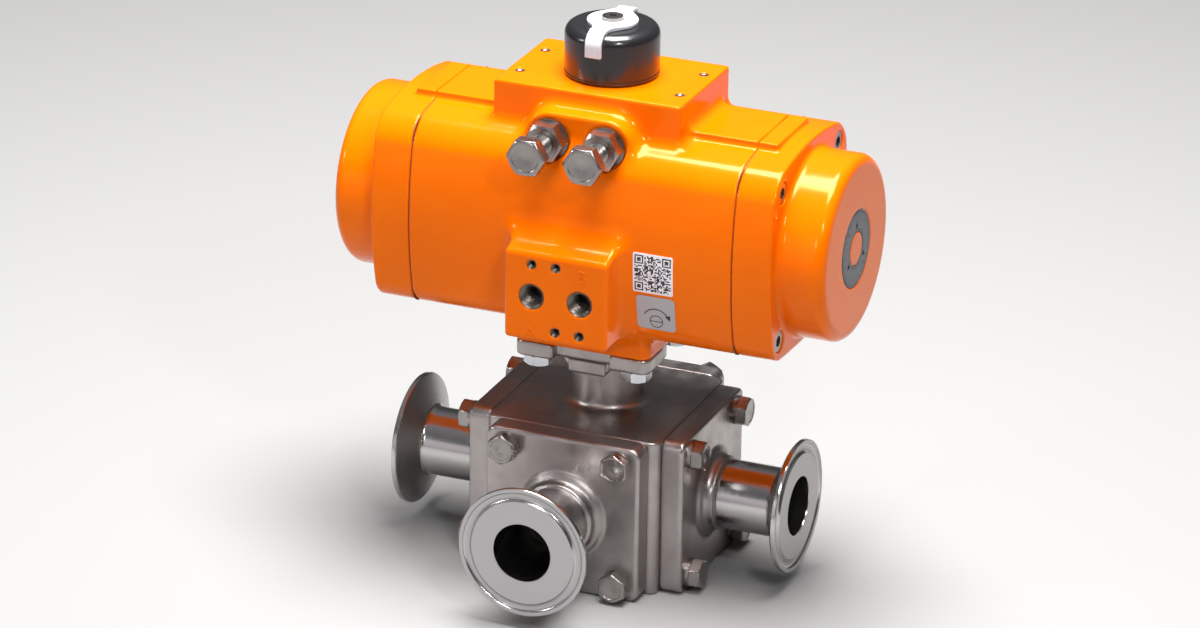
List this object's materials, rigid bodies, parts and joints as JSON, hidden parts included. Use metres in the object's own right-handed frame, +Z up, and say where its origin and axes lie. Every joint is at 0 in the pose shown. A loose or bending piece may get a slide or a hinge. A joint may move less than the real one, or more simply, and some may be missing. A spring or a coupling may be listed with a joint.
{
  "type": "pneumatic actuated valve",
  "caption": "Sanitary multi-port ball valve with clamp ferrules, turned by a spring-return rack and pinion pneumatic actuator with position indicator.",
  "frame": {"origin": "on the stem axis at the underside of the valve body", "axes": "+Z up the stem, +X along the actuator cylinder towards the right end cap, -Y towards the front port, the air ports and the stop bolts"},
  "size_m": [0.246, 0.1642, 0.2699],
  "materials": {
    "amber_enamel": "glossy amber epoxy enamel",
    "cast_stainless": "satin blasted and polished stainless casting",
    "polished_stainless": "machined and polished stainless tube",
    "bright_zinc": "bright zinc plate",
    "stainless_fastener": "cold-formed stainless fastener",
    "piston_aluminium": "machined die-cast aluminium",
    "shaft_steel": "nickel-plated steel",
    "spring_steel": "coated spring steel",
    "black_moulding": "semi-gloss moulded black",
    "white_moulding": "semi-gloss moulded white",
    "seat_polymer": "waxy white polymer",
    "seal_rubber": "matt black rubber",
    "bush_polymer": "filled bearing polymer",
    "gasket_sheet": "fibre gasket sheet",
    "ring_label": "printed grey ring label",
    "code_label": "white printed label",
    "rotation_label": "grey metallised label"
  },
  "bodies": {
    "housing": {"actuator_body": "amber_enamel", "end_cap_right": "amber_enamel", "end_cap_left": "amber_enamel", "end_cap_screws_right": "stainless_fastener", "end_cap_screws_left": "stainless_fastener", "end_cap_gaskets": "gasket_sheet", "end_label_right": "ring_label", "end_label_left": "ring_label", "code_label": "code_label", "rotation_label": "rotation_label", "upper_shaft_bush": "bush_polymer", "lower_shaft_bush": "bush_polymer", "thrust_washer": "bush_polymer", "stop_lock_nuts": "stainless_fastener", "stop_washers": "stainless_fastener", "stop_seals": "seal_rubber", "mount_bolts": "bright_zinc", "mount_spring_washers": "bright_zinc", "valve_body": "cast_stainless", "front_cap": "cast_stainless", "left_cap": "cast_stainless", "right_cap": "cast_stainless", "rear_cap": "cast_stainless", "front_cap_bolts": "stainless_fastener", "left_cap_bolts": "stainless_fastener", "right_cap_bolts": "stainless_fastener", "rear_cap_bolts": "stainless_fastener", "cap_spring_washers": "stainless_fastener", "cap_gaskets": "seat_polymer", "front_ferrule": "polished_stainless", "left_ferrule": "polished_stainless", "right_ferrule": "polished_stainless", "front_tube": "polished_stainless", "left_tube": "polished_stainless", "right_tube": "polished_stainless", "mount_flange": "cast_stainless", "ball_seats": "seat_polymer", "stem_thrust_washer": "seat_polymer", "stem_packing": "seat_polymer", "packing_gland": "stainless_fastener", "return_springs_right": "spring_steel", "return_springs_left": "spring_steel"},
    "shaft": {"drive_pinion": "shaft_steel", "stop_cam": "shaft_steel", "shaft_oring": "seal_rubber", "shaft_circlip": "spring_steel", "indicator_cap": "black_moulding", "indicator_pointer": "white_moulding", "indicator_screw": "stainless_fastener", "valve_stem": "polished_stainless", "valve_ball": "polished_stainless", "stem_disc_springs": "spring_steel", "stem_nut": "stainless_fastener", "stem_oring": "seal_rubber", "drive_adapter": "shaft_steel"},
    "piston_right_set": {"piston_right": "piston_aluminium", "piston_seal_right": "seal_rubber", "piston_guide_right": "bush_polymer"},
    "piston_left_set": {"piston_left": "piston_aluminium", "piston_seal_left": "seal_rubber", "piston_guide_left": "bush_polymer"},
    "stop_screw_left": {"stop_bolt_left": "stainless_fastener"},
    "stop_screw_right": {"stop_bolt_right": "stainless_fastener"}
  },
  "joints": [
    {"name": "shaft_turn", "type": "hinge", "parent": "housing", "child": "shaft", "pos_m": [0, 0, 0.174], "axis": [0, 0, 1], "range_deg": [0, 90], "stiffness_Nm_per_rad": 6, "springref_deg": -28.65},
    {"name": "piston_right_slide", "type": "slide", "parent": "housing", "child": "piston_right_set", "axis": [1, 0, 0], "range_m": [0, 0.0284], "deforming": ["return_springs_right"]},
    {"name": "piston_left_slide", "type": "slide", "parent": "housing", "child": "piston_left_set", "axis": [-1, 0, 0], "range_m": [0, 0.0284], "deforming": ["return_springs_left"]},
    {"name": "stop_bolt_left_slide", "type": "slide", "parent": "housing", "child": "stop_screw_left", "axis": [0, -1, 0], "range_m": [0, 0.005]},
    {"name": "stop_bolt_right_slide", "type": "slide", "parent": "housing", "child": "stop_screw_right", "axis": [0, -1, 0], "range_m": [0, 0.005]}
  ],
  "couplings": [
    {"joint": "piston_right_slide", "follows": "shaft_turn", "m_per_rad": 0.018},
    {"joint": "piston_left_slide", "follows": "shaft_turn", "m_per_rad": 0.018}
  ]
}
